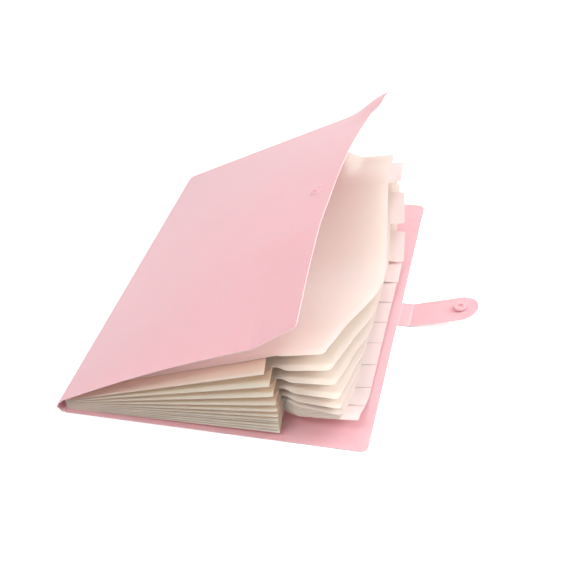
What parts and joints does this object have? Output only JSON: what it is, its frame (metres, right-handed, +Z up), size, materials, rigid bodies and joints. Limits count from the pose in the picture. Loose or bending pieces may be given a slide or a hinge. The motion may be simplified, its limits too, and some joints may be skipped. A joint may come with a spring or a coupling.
{
  "type": "accordion file folder",
  "caption": "Expanding file folder with film pockets pleated at both ends between hinged plastic covers, stepped index tabs and a wrap-over strap with a press snap.",
  "frame": {"origin": "centre of the back cover's underside, which the folder lies on", "axes": "+X from the spine to the fore edge, +Y along the spine to the far end, +Z up"},
  "size_m": [0.2997, 0.33, 0.1193],
  "materials": {
    "cover_sheet": "satin",
    "divider_film": "matte",
    "pleat_film": "matte",
    "snap_plastic": "gloss"
  },
  "bodies": {
    "back_cover": {"back_cover": "cover_sheet", "pleat_near_11": "pleat_film", "pleat_far_11": "pleat_film"},
    "spine_lower": {"spine_lower": "cover_sheet"},
    "spine_upper": {"spine_upper": "cover_sheet"},
    "front_cover": {"front_cover": "cover_sheet", "snap_stud": "snap_plastic", "snap_stud_cap": "snap_plastic"},
    "strap_bridge": {"strap_bridge": "cover_sheet"},
    "strap_tab": {"strap_tab": "cover_sheet", "snap_socket": "snap_plastic", "snap_socket_cap": "snap_plastic"},
    "divider_1": {"divider_1": "divider_film"},
    "divider_2": {"divider_2": "divider_film", "pleat_near_1": "pleat_film", "pleat_far_1": "pleat_film"},
    "divider_3": {"divider_3": "divider_film", "pleat_near_2": "pleat_film", "pleat_far_2": "pleat_film"},
    "divider_4": {"divider_4": "divider_film", "pleat_near_3": "pleat_film", "pleat_far_3": "pleat_film"},
    "divider_5": {"divider_5": "divider_film", "pleat_near_4": "pleat_film", "pleat_far_4": "pleat_film"},
    "divider_6": {"divider_6": "divider_film", "pleat_near_5": "pleat_film", "pleat_far_5": "pleat_film"},
    "divider_7": {"divider_7": "divider_film", "pleat_near_6": "pleat_film", "pleat_far_6": "pleat_film"},
    "divider_8": {"divider_8": "divider_film", "pleat_near_7": "pleat_film", "pleat_far_7": "pleat_film"},
    "divider_9": {"divider_9": "divider_film", "pleat_near_8": "pleat_film", "pleat_far_8": "pleat_film"},
    "divider_10": {"divider_10": "divider_film", "pleat_near_9": "pleat_film", "pleat_far_9": "pleat_film"},
    "divider_11": {"divider_11": "divider_film", "pleat_near_10": "pleat_film", "pleat_far_10": "pleat_film"}
  },
  "joints": [
    {"name": "spine_lower_fold", "type": "hinge", "parent": "back_cover", "child": "spine_lower", "pos_m": [-0.116, 0, 0.0008], "axis": [0, -1, 0], "range_deg": [0, 48]},
    {"name": "spine_upper_fold", "type": "hinge", "parent": "spine_lower", "child": "spine_upper", "pos_m": [-0.1196, 0, 0.00509], "axis": [0, -1, 0], "range_deg": [0, 65]},
    {"name": "cover_hinge", "type": "hinge", "parent": "spine_upper", "child": "front_cover", "pos_m": [-0.11688, 0, 0.00999], "axis": [0, -1, 0], "range_deg": [-30.21, 30.21]},
    {"name": "strap_root_fold", "type": "hinge", "parent": "back_cover", "child": "strap_bridge", "pos_m": [0.116, 0, 0.0008], "axis": [0, -1, 0], "range_deg": [0, 90]},
    {"name": "strap_tip_fold", "type": "hinge", "parent": "strap_bridge", "child": "strap_tab", "pos_m": [0.12576, 0, 0.0008], "axis": [0, -1, 0], "range_deg": [-11.5, 77]},
    {"name": "pocket_11", "type": "hinge", "parent": "back_cover", "child": "divider_11", "pos_m": [-0.114, 0, 0.0008], "axis": [0, -1, 0], "range_deg": [-3.68, 3.68], "deforming": ["pleat_near_11", "pleat_far_11"]},
    {"name": "pocket_10", "type": "hinge", "parent": "divider_11", "child": "divider_10", "pos_m": [-0.11405, 0, 0.00155], "axis": [0, -1, 0], "range_deg": [-0.49, 0.49], "deforming": ["pleat_near_10", "pleat_far_10"]},
    {"name": "pocket_9", "type": "hinge", "parent": "divider_10", "child": "divider_9", "pos_m": [-0.1141, 0, 0.0023], "axis": [0, -1, 0], "range_deg": [-0.49, 0.49], "deforming": ["pleat_near_9", "pleat_far_9"]},
    {"name": "pocket_8", "type": "hinge", "parent": "divider_9", "child": "divider_8", "pos_m": [-0.11416, 0, 0.00304], "axis": [0, -1, 0], "range_deg": [-0.49, 0.49], "deforming": ["pleat_near_8", "pleat_far_8"]},
    {"name": "pocket_7", "type": "hinge", "parent": "divider_8", "child": "divider_7", "pos_m": [-0.11422, 0, 0.00379], "axis": [0, -1, 0], "range_deg": [-0.59, 0.59], "deforming": ["pleat_near_7", "pleat_far_7"]},
    {"name": "pocket_6", "type": "hinge", "parent": "divider_7", "child": "divider_6", "pos_m": [-0.11429, 0, 0.00454], "axis": [0, -1, 0], "range_deg": [-0.59, 0.59], "deforming": ["pleat_near_6", "pleat_far_6"]},
    {"name": "pocket_5", "type": "hinge", "parent": "divider_6", "child": "divider_5", "pos_m": [-0.11436, 0, 0.00528], "axis": [0, -1, 0], "range_deg": [-1.39, 1.39], "deforming": ["pleat_near_5", "pleat_far_5"]},
    {"name": "pocket_4", "type": "hinge", "parent": "divider_5", "child": "divider_4", "pos_m": [-0.11446, 0, 0.00603], "axis": [0, -1, 0], "range_deg": [-2.19, 2.19], "deforming": ["pleat_near_4", "pleat_far_4"]},
    {"name": "pocket_3", "type": "hinge", "parent": "divider_4", "child": "divider_3", "pos_m": [-0.11458, 0, 0.00677], "axis": [0, -1, 0], "range_deg": [-2.99, 2.99], "deforming": ["pleat_near_3", "pleat_far_3"]},
    {"name": "pocket_2", "type": "hinge", "parent": "divider_3", "child": "divider_2", "pos_m": [-0.11473, 0, 0.0075], "axis": [0, -1, 0], "range_deg": [-3.39, 3.39], "deforming": ["pleat_near_2", "pleat_far_2"]},
    {"name": "pocket_1", "type": "hinge", "parent": "divider_2", "child": "divider_1", "pos_m": [-0.11493, 0, 0.00823], "axis": [0, -1, 0], "range_deg": [-4.09, 4.09], "deforming": ["pleat_near_1", "pleat_far_1"]}
  ],
  "couplings": [
    {"joint": "cover_hinge", "follows": "pocket_11", "ratio": 8.2065},
    {"joint": "pocket_10", "follows": "pocket_11", "ratio": 0.13043},
    {"joint": "pocket_9", "follows": "pocket_11", "ratio": 0.13043},
    {"joint": "pocket_8", "follows": "pocket_11", "ratio": 0.13043},
    {"joint": "pocket_7", "follows": "pocket_11", "ratio": 0.15761},
    {"joint": "pocket_6", "follows": "pocket_11", "ratio": 0.15761},
    {"joint": "pocket_5", "follows": "pocket_11", "ratio": 0.375},
    {"joint": "pocket_4", "follows": "pocket_11", "ratio": 0.59239},
    {"joint": "pocket_3", "follows": "pocket_11", "ratio": 0.80978},
    {"joint": "pocket_2", "follows": "pocket_11", "ratio": 0.91848},
    {"joint": "pocket_1", "follows": "pocket_11", "ratio": 1.1087}
  ]
}
